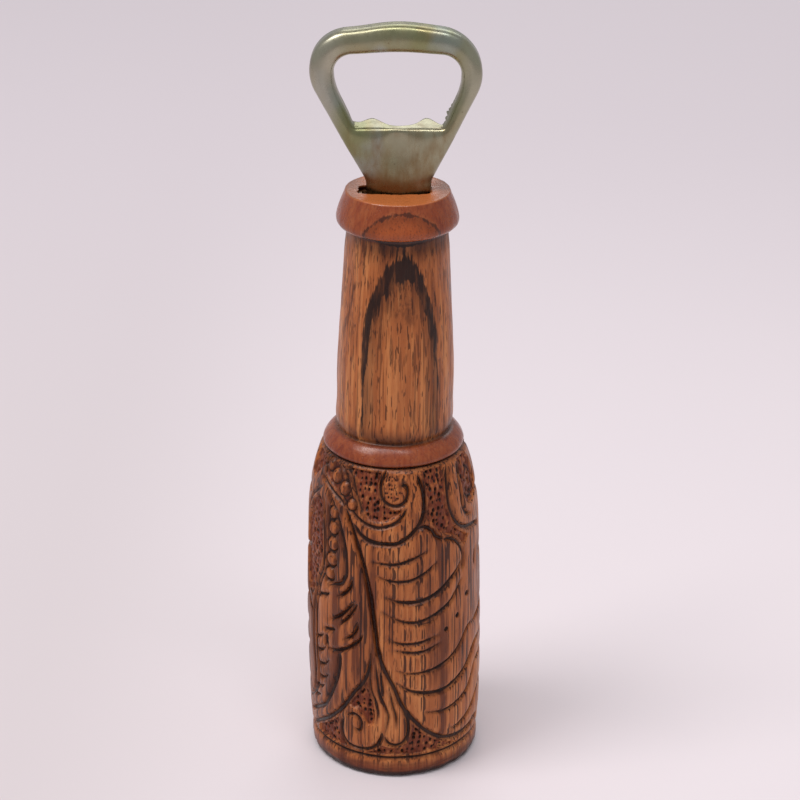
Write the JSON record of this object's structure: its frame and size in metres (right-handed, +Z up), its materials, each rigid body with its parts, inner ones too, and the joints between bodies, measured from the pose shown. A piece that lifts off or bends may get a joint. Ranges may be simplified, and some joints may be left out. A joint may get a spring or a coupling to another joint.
{
  "type": "souvenir bottle opener",
  "caption": "Carved wooden handle turned in the shape of a small bottle, with a pressed sheet-metal crown-cap opener loop set in its top.",
  "frame": {"origin": "centre of the flat base that the bottle stands on", "axes": "+Z up along the axis of the turned handle, -Y towards the front of the opener head, X along the width of its loop"},
  "size_m": [0.0458, 0.0458, 0.1973],
  "materials": {
    "varnished_wood": "stained and satin varnished",
    "plated_steel": "dull nickel plate with a brassy tarnish",
    "adhesive": "hardened resin glue"
  },
  "bodies": {
    "root": {"wooden_handle": "varnished_wood", "opener_head": "plated_steel", "tang_adhesive": "adhesive"}
  },
  "joints": []
}
